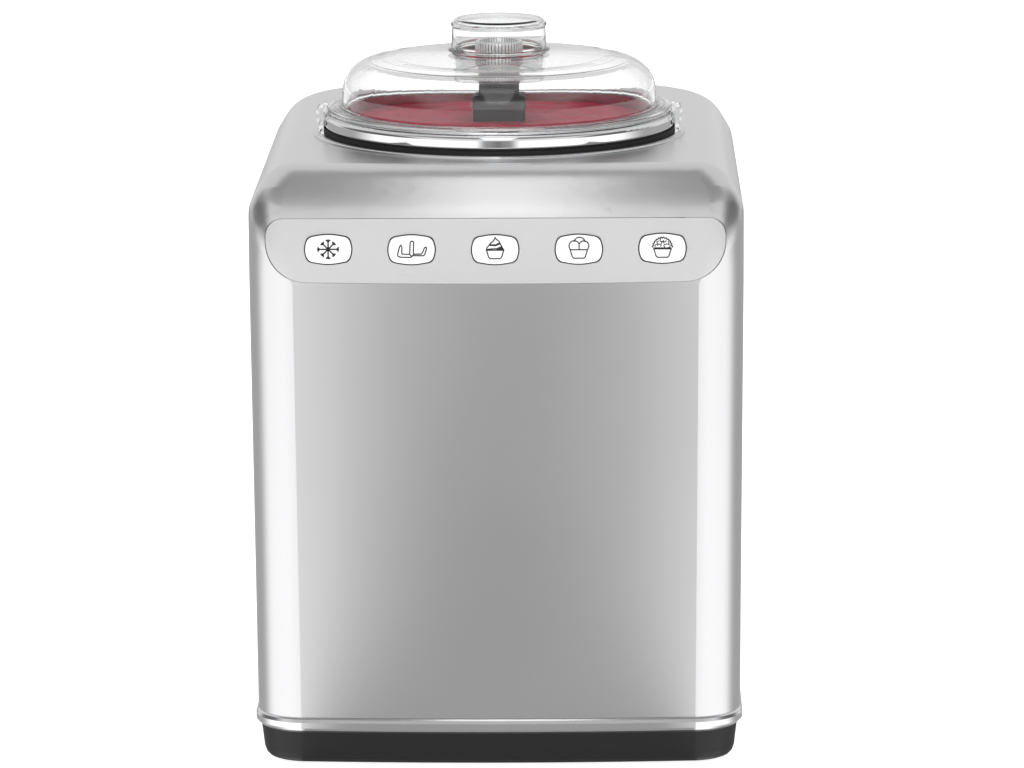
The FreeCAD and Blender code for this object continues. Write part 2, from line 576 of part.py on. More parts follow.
def paddle():
    """Hub over the cone, a hexagon socket in its neck, two floor arms and two upright scrapers."""
    hub = tube(13.6, 11.4, 209.0, 324.0, 0, BOWL_Y)
    block = box(-14.0, 14.0, BOWL_Y - 14.0, BOWL_Y + 14.0, 320.0, 338.6)
    block = block.makeFillet(1.4, [e for e in block.Edges if abs(e.BoundBox.ZLength) > 5 or e.BoundBox.ZMin > 338])
    brow = box(-14.6, 14.6, BOWL_Y - 14.6, BOWL_Y + 14.6, 331.0, 337.2)
    brow = brow.makeFillet(1.3, [e for e in brow.Edges if abs(e.BoundBox.ZLength) > 5])
    neck = turned([(0, 336, 0), (11.6, 336, 0), (11.2, 341.5, 2), (11.2, 352.2, 0.5), (0, 352.2, 0)], BOWL_Y)
    neck = neck.cut(tube(14, 10.9, 346.0, 347.2, 0, BOWL_Y))
    head = fuse(hub, block, brow, neck)
    head = head.cut(rod(11.4, 208.0, 334.5, 0, BOWL_Y)).cut(hexagon(HEX_FLAT + 0.15, 330, 354))
    blades = []
    for turn in (0, 180):
        arm = prism([(-5, 12, 1), (5, 12, 1), (3, 74, 2), (-3, 74, 2)], 209.0, 217.0)
        upright = prism([(-2.0, 62, 1.5), (2.0, 62, 1.5), (6.5, 76.5, 1.2), (3.0, 78.0, 1.2)], 209.0, 304.0)
        tip_cut = Part.makeCone(74.5, 40, 60, Vector(0, 0, 280)).cut(Part.makeCylinder(20, 80, Vector(0, 0, 270)))
        heel = Part.makeCylinder(90, 20, Vector(0, 0, 205)).cut(
            turned([(0, 204, 0), (79.0, 204, 0), (79.4, 209.0, 0), (79.4, 230, 0), (0, 230, 0)]))
        blade = arm.fuse(upright).cut(heel)
        corner = turned([(66.0, 200, 0), (95, 200, 0), (95, 224, 0), (78.9, 224, 0), (76.2, 214.5, 0)])
        blade = blade.cut(corner)
        window = prism([(-8, 65.5, 1.4), (8, 65.5, 1.4), (8, 71.5, 1.4), (-8, 71.5, 1.4)], 226.0, 292.0)
        blade = blade.cut(window)
        blade.rotate(Vector(0, 0, 0), UP, turn)
        blade.translate(Vector(0, BOWL_Y, 0))
        blades.append(blade)
    whole = fuse(head, *blades)
    return whole.cut(rod(11.4, 208.0, 330.0, 0, BOWL_Y))


def paddle_nut():
    """Knurled hand nut that clamps the paddle onto the shaft."""
    nut = turned([(0, 352.6, 0), (12.4, 352.6, 0.5), (13.1, 353.8, 0.3), (13.1, 364.4, 0.3), (12.5, 365.8, 0.5),
                  (10.6, 365.8, 0.5), (10.2, 363.2, 0.6), (0, 363.2, 0)], BOWL_Y)
    nut = nut.cut(rod(3.62, 350, SHAFT_Z[1] + 1.0, 0, BOWL_Y))
    count = 44
    grooves = []
    for i in range(count):
        groove = Part.makeCylinder(0.42, 13, Vector(13.2, 0, 353.6))
        groove.rotate(Vector(0, 0, 0), UP, 360.0 * i / count)
        groove.translate(Vector(0, BOWL_Y, 0))
        grooves.append(groove)
    return nut.cut(grooves)


# ---------------------------------------------------------------- drive
def gear(teeth, z0, z1, bore_r, turn=0.0):
    """Spur gear with involute flanks, short teeth and backlash, standing on the Z axis."""
    pressure = math.radians(25)
    pitch_r = GEAR_MODULE * teeth / 2
    base_r = pitch_r * math.cos(pressure)
    tip_r = pitch_r + 0.8 * GEAR_MODULE
    root_r = pitch_r - 1.05 * GEAR_MODULE

    def involute_angle(r):
        if r <= base_r:
            return 0.0
        a = math.acos(base_r / r)
        return math.tan(a) - a

    half_tooth = (math.pi * GEAR_MODULE / 2 - BACKLASH) / (2 * pitch_r)
    start = half_tooth + involute_angle(pitch_r)
    flank_low = max(root_r, base_r)
    foot = start - involute_angle(flank_low)
    edges = []

    def at(r, angle):
        return Vector(r * math.cos(angle), r * math.sin(angle), z0)

    first = None
    last = None
    for i in range(teeth):
        centre = 2 * math.pi * i / teeth + math.radians(turn)
        radii = [flank_low + (tip_r - flank_low) * k / 4 for k in range(5)]
        rising = [at(r, centre - start + involute_angle(r)) for r in radii]
        falling = [at(r, centre + start - involute_angle(r)) for r in reversed(radii)]
        foot_a = at(root_r, centre - foot)
        foot_b = at(root_r, centre + foot)
        if last is not None:
            mid_angle = centre - math.pi / teeth
            edges.append(Part.Arc(last, at(root_r, mid_angle), foot_a).toShape())
        else:
            first = foot_a
        if foot_a.distanceToPoint(rising[0]) > 1e-6:
            edges.append(Part.makeLine(foot_a, rising[0]))
        rise = Part.BSplineCurve()
        rise.interpolate(rising)
        edges.append(rise.toShape())
        edges.append(Part.Arc(rising[-1], at(tip_r, centre), falling[0]).toShape())
        fall = Part.BSplineCurve()
        fall.interpolate(falling)
        edges.append(fall.toShape())
        if falling[-1].distanceToPoint(foot_b) > 1e-6:
            edges.append(Part.makeLine(falling[-1], foot_b))
        last = foot_b
    edges.append(Part.Arc(last, at(root_r, math.radians(turn) - math.pi / teeth), first).toShape())
    blank = Part.Face(Part.Wire(edges)).extrude(Vector(0, 0, z1 - z0))
    return blank.cut(rod(bore_r, z0 - 1, z1 + 1))


GEARBOX = (-51.0, 57.0, -127.0, 20.0)     # x and y limits of the gearbox case
GEARBOX_Z = (140.0, 174.0)
COVER_Z = (174.0, 178.0)
OUTPUT_GEAR_Z = (150.0, 160.0)
SMALL_GEAR_Z = (149.0, 161.0)
BIG_GEAR_Z = (163.0, 170.0)
PINION_Z = (162.0, 171.0)
POSTS = [(-45, -121), (51, -121), (-45, 0), (51, 0)]
SHAFT_Z = (137.5, 360.8)
HEX_Z = (333.0, 351.5)


def drive_shaft():
    """Steel shaft from the gearbox up through both bowls, with a hexagon for the paddle and a stud for the nut."""
    z0, z1 = SHAFT_Z
    shaft = rod(SHAFT_R, z0, HEX_Z[0], 0, BOWL_Y)
    drive = hexagon(HEX_FLAT, *HEX_Z).common(rod(SHAFT_R, *HEX_Z, 0, BOWL_Y))
    stud = rod(3.5, HEX_Z[1], z1, 0, BOWL_Y)
    stud = stud.makeChamfer(0.6, [e for e in stud.Edges if e.BoundBox.ZMin > z1 - 0.1])
    return fuse(shaft, drive, stud)


def output_gear():
    wheel = gear(OUTPUT_TEETH, *OUTPUT_GEAR_Z, SHAFT_R)
    for i in range(5):
        hole = rod(7.5, OUTPUT_GEAR_Z[0] - 1, OUTPUT_GEAR_Z[1] + 1, 26, 0)
        hole.rotate(Vector(0, 0, 0), UP, 72 * i + 36)
        wheel = wheel.cut(hole)
    wheel = wheel.fuse(tube(9, SHAFT_R, OUTPUT_GEAR_Z[0] - 2, OUTPUT_GEAR_Z[1] + 11.5))
    wheel.translate(Vector(0, BOWL_Y, 0))
    return wheel


def idler_gear():
    """Large and small wheels in one moulding. The small one meshes with the output gear."""
    axle_r = 3.0 + RUN
    small_turn = 90 + 180.0 / IDLER_SMALL_TEETH
    small = gear(IDLER_SMALL_TEETH, *SMALL_GEAR_Z, axle_r, small_turn)
    big = gear(IDLER_BIG_TEETH, *BIG_GEAR_Z, axle_r, 0)
    hub = tube(8.0, axle_r, SMALL_GEAR_Z[1], BIG_GEAR_Z[0])
    wheel = small.fuse([big, hub])
    wheel.translate(Vector(0, IDLER_Y, 0))
    return wheel


def idler_axle():
    return rod(3.0, GEARBOX_Z[0], COVER_Z[0], 0, IDLER_Y)


def motor_pinion():
    """Pinion on the motor's spindle."""
    pinion = gear(PINION_TEETH, *PINION_Z, 2.5, 180 + 180.0 / PINION_TEETH)
    spindle = rod(2.5, 120.0, PINION_Z[1])
    shape = pinion.fuse(spindle)
    shape.translate(Vector(PINION_X, IDLER_Y, 0))
    return shape


def gearbox_plan(inset, z0, z1):
    x0, x1, y0, y1 = GEARBOX
    r = max(1.0, 12 - inset)
    return prism([(x0 + inset, y0 + inset, r), (x1 - inset, y0 + inset, r), (x1 - inset, y1 - inset, r),
                  (x0 + inset, y1 - inset, r)], z0, z1)


def gearbox_case():
    case = gearbox_plan(0, *GEARBOX_Z).cut(gearbox_plan(3, GEARBOX_Z[0] + 3, GEARBOX_Z[1] + 1))
    case = case.fuse(rod(11, GEARBOX_Z[0] + 2, GEARBOX_Z[0] + 6, 0, BOWL_Y))
    case = case.cut(rod(7.0, 130, 150, 0, BOWL_Y))
    case = case.cut(rod(3.0, 138, 150, 0, IDLER_Y))
    case = case.cut(rod(9.0, 138, 150, PINION_X, IDLER_Y))
    for x, y in POSTS:
        case = case.fuse(rod(6, GEARBOX_Z[0], GEARBOX_Z[1], x, y)).cut(rod(1.6, GEARBOX_Z[1] - 14, 175, x, y))
    return case


def gearbox_cover():
    cover = gearbox_plan(0, *COVER_Z)
    cover = cover.cut(rod(7.0, 170, 182, 0, BOWL_Y))
    for x, y in ((-38, -60), (38, -60), (0, 8)):
        cover = cover.fuse(rod(6, COVER_Z[1] - 1, JACKET_Z[0], x, y))
    for x, y in POSTS:
        cover = cover.cut(rod(1.9, 170, 182, x, y))
    return cover


def shaft_bushes():
    """Flanged bronze bushes: one in the gearbox floor, one in its cover, one at the top of the bowl's tube."""
    lower = tube(7.0, SHAFT_R + RUN, 138.0, 146.5, 0, BOWL_Y)
    middle = tube(7.0, SHAFT_R + RUN, 172.5, 179.5, 0, BOWL_Y)
    upper = tube(6.0, SHAFT_R + RUN, 309.0, 321.0, 0, BOWL_Y)
    return group([lower, middle, upper])


def shaft_seal():
    return tube(6.0, SHAFT_R + RUN, 303.0, 309.0, 0, BOWL_Y)


def gearbox_posts():
    return group([rod(4.0, TRAY_BOTTOM_Z + 6.0, GEARBOX_Z[0], x, y) for x, y in POSTS])


def gearbox_screws():
    shapes = []
    for x, y in POSTS:
        head = rod(3.2, COVER_Z[1], COVER_Z[1] + 2.2, x, y)
        head = head.makeFillet(0.8, [e for e in head.Edges if e.BoundBox.ZMin > COVER_Z[1] + 2])
        shank = rod(1.55, COVER_Z[1] - 15, COVER_Z[1], x, y)
        slot = box(x - 4, x + 4, y - 0.4, y + 0.4, COVER_Z[1] + 1.2, COVER_Z[1] + 3)
        shapes.append(head.fuse(shank).cut(slot))
    return group(shapes)


def drive_motor():
    """Motor can under the gearbox floor, with a nose that locates it and a blind bore for its spindle."""
    can = rod(27.0, 74.0, 138.0, 0, 0)
    can = can.makeFillet(3.0, [e for e in can.Edges if e.BoundBox.ZMax < 75])
    shape = fuse(can, rod(20.0, 137.0, 140.0), rod(9.0, 139.0, 145.0), rod(8.0, 68.0, 75.0))
    for x, y in ((0, 20), (0, -20)):
        shape = shape.fuse(box(x - 6, x + 6, y - 9 if y < 0 else y - 2, y + 2 if y < 0 else y + 9, 132, 140))
    shape = shape.cut(rod(2.5 + RUN, 119.0, 150.0))
    shape.translate(Vector(PINION_X, IDLER_Y, 0))
    return shape


# ---------------------------------------------------------------- refrigeration
JACKET_Z = (181.0, 313.8)
COIL_R = 4.0
COIL_Z = (214.0, 298.0)
COIL_TURNS = 7
COIL_RADIUS = 92.9


def insulation_jacket():
    """Moulded foam cup round the coil."""
    z0, z1 = JACKET_Z
    jacket = turned([(14, z0, 1), (112, z0, 12), (112, z1 - 24, 8), (103, z1, 2), (98.2, z1, 1),
                     (97.8, z0 + 14, 10), (14, z0 + 14, 1)], BOWL_Y)
    for z in COIL_Z:
        jacket = jacket.cut(rod_y(COIL_R + 0.6, BOWL_Y + 80, BOWL_Y + 120, 0, z))
    return jacket


def evaporator_coil():
    """Copper tube wound round the fixed bowl in rising half turns, its ends led out to the back."""
    half_turns = 2 * COIL_TURNS
    half_rise = (COIL_Z[1] - COIL_Z[0]) / half_turns
    arcs = []
    for i in range(half_turns):
        side = 1 if i % 2 == 0 else -1
        start = Vector(0, BOWL_Y + side * COIL_RADIUS, COIL_Z[0] + half_rise * i)
        stop = Vector(0, BOWL_Y - side * COIL_RADIUS, start.z + half_rise)
        middle = (start + stop) / 2 - Vector(side * start.distanceToPoint(stop) / 2, 0, 0)
        arcs.append(Part.Arc(start, middle, stop).toShape())
    section = Part.Wire(Part.makeCircle(COIL_R, arcs[0].Vertexes[0].Point, Vector(1, 0, 0)))
    coil = Part.Wire(arcs).makePipeShell([section], True, True)
    tails = [rod_y(COIL_R - 0.4, BOWL_Y + COIL_RADIUS - 1, 90.0, 0, z) for z in COIL_Z]
    return coil.fuse(tails)


COMPRESSOR_Y = 55.0
COMPRESSOR_R = 46.0
COMPRESSOR_Z = (24.0, 132.0)
SUCTION_PORT = (0.0, COMPRESSOR_Y, COMPRESSOR_Z[1] + 4)
DISCHARGE_PORT = (COMPRESSOR_R + 5, COMPRESSOR_Y, 66.0)


def compressor():
    """Hermetic compressor: welded two-part shell with its seam, stub tubes and terminal box."""
    z0, z1 = COMPRESSOR_Z
    mid = z0 + 62
    r = COMPRESSOR_R
    shell = turned([(0, z0, 0), (r - 5, z0, 14), (r - 1.8, mid - 3, 3), (r, mid - 3, 0.5), (r, mid + 3, 0.5),
                    (r - 2.2, mid + 3, 3), (r - 4, z1, 28), (0, z1, 0)], COMPRESSOR_Y)
    terminals = box(-r - 16, -r + 8, COMPRESSOR_Y - 17, COMPRESSOR_Y + 17, z0 + 20, z0 + 50)
    terminals = terminals.makeFillet(3, [e for e in terminals.Edges if e.BoundBox.XMax < -r - 15])
    suction = rod(4.4, z1 - 8, SUCTION_PORT[2], SUCTION_PORT[0], SUCTION_PORT[1])
    service = rod(3.0, z1 - 14, z1 + 5, 20, COMPRESSOR_Y + 20)
    x, y, z = DISCHARGE_PORT
    discharge = Part.makeCylinder(3.4, 16, Vector(x - 16, y, z), Vector(1, 0, 0))
    return fuse(shell, terminals, suction, service, discharge)


BRACKET_HOLES = [(-42, COMPRESSOR_Y - 36), (42, COMPRESSOR_Y - 36), (-42, COMPRESSOR_Y + 36), (42, COMPRESSOR_Y + 36)]


def compressor_bracket():
    plate = prism([(-54, COMPRESSOR_Y - 46, 8), (54, COMPRESSOR_Y - 46, 8), (54, COMPRESSOR_Y + 46, 8),
                   (-54, COMPRESSOR_Y + 46, 8)], 21.5, 24.0)
    for x, y in BRACKET_HOLES:
        plate = plate.cut(rod(4.0, 20, 26, x, y))
    return plate


def compressor_grommets():
    shapes = []
    for x, y in BRACKET_HOLES:
        floor = TRAY_BOTTOM_Z + 3.0
        shapes.append(turned([(0, floor, 0), (8, floor, 1), (9, 12, 2), (8, 21.5, 1), (3.9, 21.5, 0),
                              (3.9, 25.5, 0.5), (0, 25.5, 0)]).translated(Vector(x, y, 0)))
    return group(shapes)


CONDENSER_X = 56.0
CONDENSER_Y = 152.0
CONDENSER_ROWS = [36 + 16 * i for i in range(7)]
TUBE_R = 3.0


def condenser_coil():
    """Serpentine copper tube through the fins, with its inlet at the top and outlet at the bottom."""
    points = []
    for i, z in enumerate(CONDENSER_ROWS):
        ends = [(-CONDENSER_X, CONDENSER_Y, z), (CONDENSER_X, CONDENSER_Y, z)]
        points += ends if i % 2 == 0 else ends[::-1]
    return pipe(points, TUBE_R, 7.9)


def condenser_fins():
    z0, z1 = CONDENSER_ROWS[0] - 7, CONDENSER_ROWS[-1] + 7
    fin = box(0, 0.6, CONDENSER_Y - 11, CONDENSER_Y + 11, z0, z1)
    for z in CONDENSER_ROWS:
        fin = fin.cut(Part.makeCylinder(TUBE_R + 0.05, 5, Vector(-2, CONDENSER_Y, z), Vector(1, 0, 0)))
    return group([fin.translated(Vector(-44.3 + 4.0 * i, 0, 0)) for i in range(23)])


FAN_Z = 84.0
FAN_R = 41.0
FAN_Y = 124.0


def fan_shroud():
    """Square duct in front of the condenser with a spider for the fan motor."""
    duct = box(-48, 48, 112, 138, FAN_Z - 48, FAN_Z + 48)
    duct = duct.makeFillet(5, [e for e in duct.Edges if abs(e.BoundBox.YLength) > 20])
    duct = duct.cut(rod_y(FAN_R + 2.5, 111, 139, 0, FAN_Z))
    hoop = rod_y(21, 112, 115, 0, FAN_Z).cut(rod_y(17.0, 111, 116, 0, FAN_Z))
    shape = duct.fuse(hoop)
    for turn in (45, 135, 225, 315):
        spoke = box(19.5, FAN_R + 4, 112, 115, -2.5, 2.5)
        spoke.rotate(Vector(0, 0, 0), Vector(0, 1, 0), turn)
        spoke.translate(Vector(0, 0, FAN_Z))
        shape = shape.fuse(spoke)
    return shape


def fan_motor():
    can = rod_y(17.0, 104.0, 119.0, 0, FAN_Z)
    return can.cut(rod_y(1.5 + RUN, 108.0, 120.0, 0, FAN_Z))


def fan_impeller():
    """Seven pitched blades on a hub with its spindle."""
    shape = rod_y(14.0, 120.0, 134.0, 0, 0).fuse(rod_y(1.5, 109.0, 121.0, 0, 0))
    for i in range(7):
        outline_points = [(12.5, -5.5, 0), (38.5, -9.5, 3), (FAN_R - 0.5, 0, 5), (38.5, 9.5, 3), (12.5, 5.5, 0)]
        blade = prism(outline_points, -0.8, 0.8)
        blade.rotate(Vector(0, 0, 0), Vector(1, 0, 0), 32)
        blade.rotate(Vector(0, 0, 0), Vector(1, 0, 0), 90)
        blade.translate(Vector(0, FAN_Y + 3, 0))
        blade.rotate(Vector(0, 0, 0), Vector(0, 1, 0), 360.0 * i / 7)
        shape = shape.fuse(blade)
    shape.translate(Vector(0, 0, FAN_Z))
    return shape


def discharge_line():
    """Hot gas from the compressor to the condenser's inlet."""
    z_in = CONDENSER_ROWS[-1]
    x, y, z = DISCHARGE_PORT
    return pipe([(x, y, z), (x + 15, y, z), (x + 17, 108, z + 10), (x + 19, 132, z_in - 18),
                 (x + 19, CONDENSER_Y, z_in), (CONDENSER_X, CONDENSER_Y, z_in)], 2.4, 6)


DRIER = (-72.0, 118.0)


def filter_drier():
    x, y = DRIER
    return turned([(0, 60, 0), (2.6, 60, 0), (2.6, 66, 0), (9, 72, 3), (9, 116, 3), (2.2, 122, 0), (2.2, 126, 0),
                   (0, 126, 0)]).translated(Vector(x, y, 0))


def liquid_line():
    """From the condenser's outlet to the drier."""
    x, y = DRIER
    z = CONDENSER_ROWS[0]
    return pipe([(-CONDENSER_X, CONDENSER_Y, z), (-72, CONDENSER_Y, z), (x, y, z), (x, y, 60)], 2.4, 7)


def capillary_line():
    """Thin tube from the drier up to the coil's lower end."""
    x, y = DRIER
    z = COIL_Z[0]
    return pipe([(x, y, 126), (x, y, 180), (-40, 128, 200), (0, 118, z), (0, 90, z)], 1.6, 8)


def suction_line():
    """From the coil's upper end down to the compressor."""
    x, y, z = SUCTION_PORT
    return pipe([(0, 90, COIL_Z[1]), (0, 112, COIL_Z[1]), (30, 112, 240), (30, 104, 176), (6, y + 18, 158),
                 (x, y, 154), (x, y, z)], 3.2, 7)


# ---------------------------------------------------------------- electrics
def power_board():
    """Relay and supply board on the rails at the left of the back, with its large parts."""
    x = POWER_BOARD_X
    board = box(x, x + 1.6, 94, 144, 192, 280)
    relay = box(x + 1.6, x + 17, 98, 114, 200, 226)
    transformer = box(x + 1.6, x + 24, 118, 140, 232, 256)
    capacitor = Part.makeCylinder(8, 22, Vector(x + 1.6, 106, 262), Vector(1, 0, 0))
    sink = box(x + 1.6, x + 12, 122, 126, 200, 224)
    return fuse(board, relay, transformer, capacitor, sink)


def board_screws():
    shapes = []
    for u in BOARD_SCREW_U:
        head = rod(2.8, BOARD_W[0] - 1.8, BOARD_W[0], u, BOARD_SCREW_V)
        shank = rod(1.25, BOARD_W[0], BOARD_W[1] + 4.5, u, BOARD_SCREW_V)
        shapes.append(on_panel(head.fuse(shank)))
    return group(shapes)


def tray_screws():
    shapes = []
    for x, y in TRAY_SCREWS:
        head = rod(3.4, TRAY_BOTTOM_Z + 0.2, TRAY_BOTTOM_Z + 2.0, x, y)
        shapes.append(head.fuse(rod(1.8, TRAY_BOTTOM_Z + 2.0, TRIM_TOP_Z + 7.0, x, y)))
    return group(shapes)


PARTS = {
    "housing_shell": housing_shell,
    "control_fascia": control_fascia,
    "control_board": control_board,
    "tact_switches": tact_switches,
    "board_screws": board_screws,
    "trim_ring": trim_ring,
    "base_tray": base_tray,
    "rubber_feet": rubber_feet,
    "tray_screws": tray_screws,
    "rear_panel": rear_panel,
    "rear_screws": rear_screws,
    "mains_gland": mains_gland,
    "rocker_housing": rocker_housing,
    "power_rocker": power_rocker,
    "bowl_gasket": bowl_gasket,
    "fixed_bowl": fixed_bowl,
    "removable_bowl": removable_bowl,
    "lid": lid,
    "lid_cap": lid_cap,
    "paddle": paddle,
    "paddle_nut": paddle_nut,
    "drive_shaft": drive_shaft,
    "output_gear": output_gear,
    "idler_gear": idler_gear,
    "idler_axle": idler_axle,
    "motor_pinion": motor_pinion,
    "gearbox_case": gearbox_case,
    "gearbox_cover": gearbox_cover,
    "gearbox_posts": gearbox_posts,
    "gearbox_screws": gearbox_screws,
    "shaft_bushes": shaft_bushes,
    "shaft_seal": shaft_seal,
    "drive_motor": drive_motor,
    "insulation_jacket": insulation_jacket,
    "evaporator_coil": evaporator_coil,
    "compressor": compressor,
    "compressor_bracket": compressor_bracket,
    "compressor_grommets": compressor_grommets,
    "condenser_coil": condenser_coil,
    "condenser_fins": condenser_fins,
    "fan_shroud": fan_shroud,
    "fan_motor": fan_motor,
    "fan_impeller": fan_impeller,
    "discharge_line": discharge_line,
    "filter_drier": filter_drier,
    "liquid_line": liquid_line,
    "capillary_line": capillary_line,
    "suction_line": suction_line,
    "power_board": power_board,
}


def main():
    os.makedirs("parts", exist_ok=True)
    for name, make in PARTS.items():
        save(name, make())
    for name, u in zip(BUTTONS, BUTTON_U):
        save(name, button(u))


main()
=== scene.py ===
"""Looks for the compressor ice cream maker: finishes, button pictograms, painted gap shade, frozen dessert,
studio.
"""
import json
import math

import bmesh
import bpy
from mathutils import Matrix, Vector, noise


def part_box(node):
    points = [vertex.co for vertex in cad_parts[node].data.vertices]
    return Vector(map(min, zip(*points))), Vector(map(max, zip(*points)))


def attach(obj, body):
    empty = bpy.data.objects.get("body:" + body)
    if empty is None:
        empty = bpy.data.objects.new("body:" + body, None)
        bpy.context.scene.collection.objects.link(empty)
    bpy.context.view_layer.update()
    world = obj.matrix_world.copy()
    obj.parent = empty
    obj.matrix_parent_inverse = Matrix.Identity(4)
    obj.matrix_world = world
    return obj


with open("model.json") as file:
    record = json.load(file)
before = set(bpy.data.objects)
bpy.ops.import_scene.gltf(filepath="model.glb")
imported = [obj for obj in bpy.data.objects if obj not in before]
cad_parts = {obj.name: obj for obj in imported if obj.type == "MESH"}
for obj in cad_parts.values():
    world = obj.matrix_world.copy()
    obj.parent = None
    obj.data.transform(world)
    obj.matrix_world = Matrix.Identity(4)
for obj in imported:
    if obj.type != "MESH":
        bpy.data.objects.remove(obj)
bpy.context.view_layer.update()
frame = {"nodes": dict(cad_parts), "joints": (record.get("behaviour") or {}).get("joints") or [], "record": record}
NODES = frame["nodes"]
SUBPARTS = frame["record"]["subparts"]

MM = 0.001
SCENE = bpy.context.scene
SIDEWAYS = Vector((1, 0, 0))
WHITE = (1, 1, 1, 1)
BLACK = (0, 0, 0, 1)

# ---------------------------------------------------------------- places, worked out from the frame
SHAFT_LOW, SHAFT_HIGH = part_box("drive_shaft")
AXIS = Vector((0, (SHAFT_LOW.y + SHAFT_HIGH.y) / 2, 0))      # upright through bowl, lid, paddle and shaft
RIM_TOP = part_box("fixed_bowl")[1].z
PRESS = {j["child"]: Vector(j["axis"]) for j in frame["joints"] if j["name"].endswith("_press")}

# ---------------------------------------------------------------- sizes of pictograms and of the painted shade in the button gaps
STROKE = 0.66 * MM
CRUMB_STROKE = 0.5 * MM
SNOWFLAKE_STROKE = 0.78 * MM
SNOWFLAKE_ARMS = (5.8, 4.9, 5.2, 4.9)        # mm, from level, round to upright
SNOWFLAKE_HEART_R = 1.0                      # mm
BARB_INSET = 1.3                             # mm from the arm's tip to where its barbs start
BARB_LENGTH = 1.5                            # mm
BARB_ANGLE = math.radians(48)
INK_T = 0.06 * MM
INK_SINK = 0.005 * MM                        # the ink starts this far inside the button's face
SAME_LEVEL = 0.02 * MM                       # corners nearer to a level than this are on it
MITRE_LIMIT = 0.55                           # keeps the mitre of a sharp corner from running out long
CAP_ROUNDING = 0.5 * MM                      # the round edge of a button's face
# the dark rings sized below paint the shade that falls in the gap round each button
GAP_SHADE_INNER, GAP_SHADE_OUTER = 0.08 * MM, 0.52 * MM        # out from the button's side
GAP_SHADE_TOP, GAP_SHADE_BOTTOM = 1.35 * MM, 1.85 * MM         # below the button's face

# pictogram outlines, in mm from the middle of the button's face
CUP = [(-4.5, -0.3), (-3.4, -3.9), (-2.6, -4.7), (2.6, -4.7), (3.4, -3.9), (4.5, -0.3)]
PADDLE_STEM = [(-0.95, -2.5), (-0.7, 3.9), (-0.2, 4.4), (0.65, 4.4), (1.1, 3.9), (0.95, -2.8), (0.2, -3.5)]
PADDLE_LEFT = [(-0.95, -2.4), (-4.6, -2.3), (-5.1, -1.7), (-5.0, 1.2), (-5.5, 2.4), (-6.2, 1.6), (-7.3, -2.5),
               (-7.0, -3.4), (-5.6, -3.9), (-0.5, -4.0), (0.95, -3.0)]
PADDLE_RIGHT = [(1.1, -2.3), (5.1, -2.3), (5.9, -1.2), (6.8, 1.1), (7.6, 1.3), (7.8, 0.4), (6.8, -2.7),
                (5.9, -3.2), (1.1, -3.1)]
SOFT_SERVE = [(-4.5, -0.3), (-4.4, 0.9), (-3.4, 1.9), (-2.6, 3.1), (-1.1, 4.3), (-0.4, 5.3), (0.0, 6.3),
              (0.7, 5.3), (2.0, 4.4), (2.6, 3.1), (3.5, 1.5), (4.5, -0.3)]
SOFT_SERVE_SHADES = [[(-2.9, 1.9), (-2.6, 2.9), (0.2, 2.8), (2.1, 3.8), (2.8, 2.8), (0.3, 1.7)],
                     [(-0.3, -0.2), (2.2, 0.7), (3.6, 1.5), (4.5, -0.2)]]
SOFT_SERVE_FOLD = [(-4.3, 0.1), (-1.8, 0.4), (0.8, 0.5), (3.2, 1.4)]
SCOOP_LEFT, SCOOP_RIGHT, SCOOP_BACK = (-2.4, 1.7, 2.7), (2.6, 1.7, 2.6), (0.4, 3.3, 2.9)     # middle, radius
SCOOP_PARTING = [(0.15, 2.0), (0.15, -0.3)]
GRANITA_SHADE = [(-4.4, 0.5), (4.4, 0.5), (4.4, -0.3), (-4.4, -0.3)]
CRUMBS = [(-3.2, 1.3), (-2.2, 3.0), (-0.6, 4.2), (1.2, 4.0), (2.6, 2.8), (3.3, 1.2), (-1.4, 1.5), (0.1, 2.6),
          (1.4, 1.4)]
CRUMB_R = 0.7
CRUST_BASE, CRUST_RISE = 0.3, 5.2            # foot and height of the granita's heap
CRUST_R = 5.0                                # half its width
CRUST_STEPS = 24                             # along its rough outline
CRUST_IN, CRUST_OUT = 0.96, 1.06             # by turns, times the heap's size

# ---------------------------------------------------------------- the dessert in the bowl
DESSERT_TOP = RIM_TOP - 4.0 * MM
DESSERT_BOTTOM = DESSERT_TOP - 6.0 * MM
DESSERT_R = 84.2 * MM
DESSERT_HOLE_R = 13.75 * MM                  # round the paddle's hub
DESSERT_RINGS, DESSERT_SPOKES = 34, 168
SWIRL_ARMS = 3
SWIRL_TWIST = 26.0                           # radians over the dessert's radius
SWIRL_HEIGHT = 0.45 * MM
RIPPLES_PER_M = 60.0
RIPPLE_HEIGHT = 1.1 * MM
RIPPLE_SLICE = 3.7                           # which slice of the noise the ripples come from
EDGE_DIP = 1.2 * MM                          # how far the top sinks where it meets the bowl
CALM_HUB, CALM_WALL, DIP_WALL = 1 / 5, 1 / 7, 1 / 9      # parts of the width, in from the hub or the wall
HUB_CLEARANCE, WALL_CLEARANCE = 0.1 * MM, 0.4 * MM       # more room for hub and wall at the underside

# ---------------------------------------------------------------- camera and lights, in metres
CAMERA_DISTANCE = 3.0                        # level distance to the bowl's axis
CAMERA_HEIGHT = 0.7678
CAMERA_DOWN = math.radians(11.1)
CAMERA_YAW = math.radians(0.93)              # the camera stands a little to the object's right
CAMERA_ROLL = math.radians(-0.35)
CAMERA_ASIDE = 6.0 * MM                      # puts the object left of the picture's middle
CAMERA_REACH = 60.0
SENSOR_WIDTH, FOCAL_LENGTH = 36.0, 195.9     # mm

LIGHTS = [
    # a narrow light that puts the bright fan shape on the roll under the bowl
    dict(name="roll_light", place=(0, -0.39, 0.69), aim=(0, -0.165, 0.30), size=(0.15, 0.50), power=0.24),
    dict(name="front_fill", place=(0, -1.6, 0.9), aim=(0, 0, 0.2), size=(1.2, 0.8), power=6.0, glossy=False),
    dict(name="top_fill", place=(0, -0.1, 1.9), aim=(0, -0.1, 0.3), size=(1.4, 1.4), power=6.0, glossy=False),
]

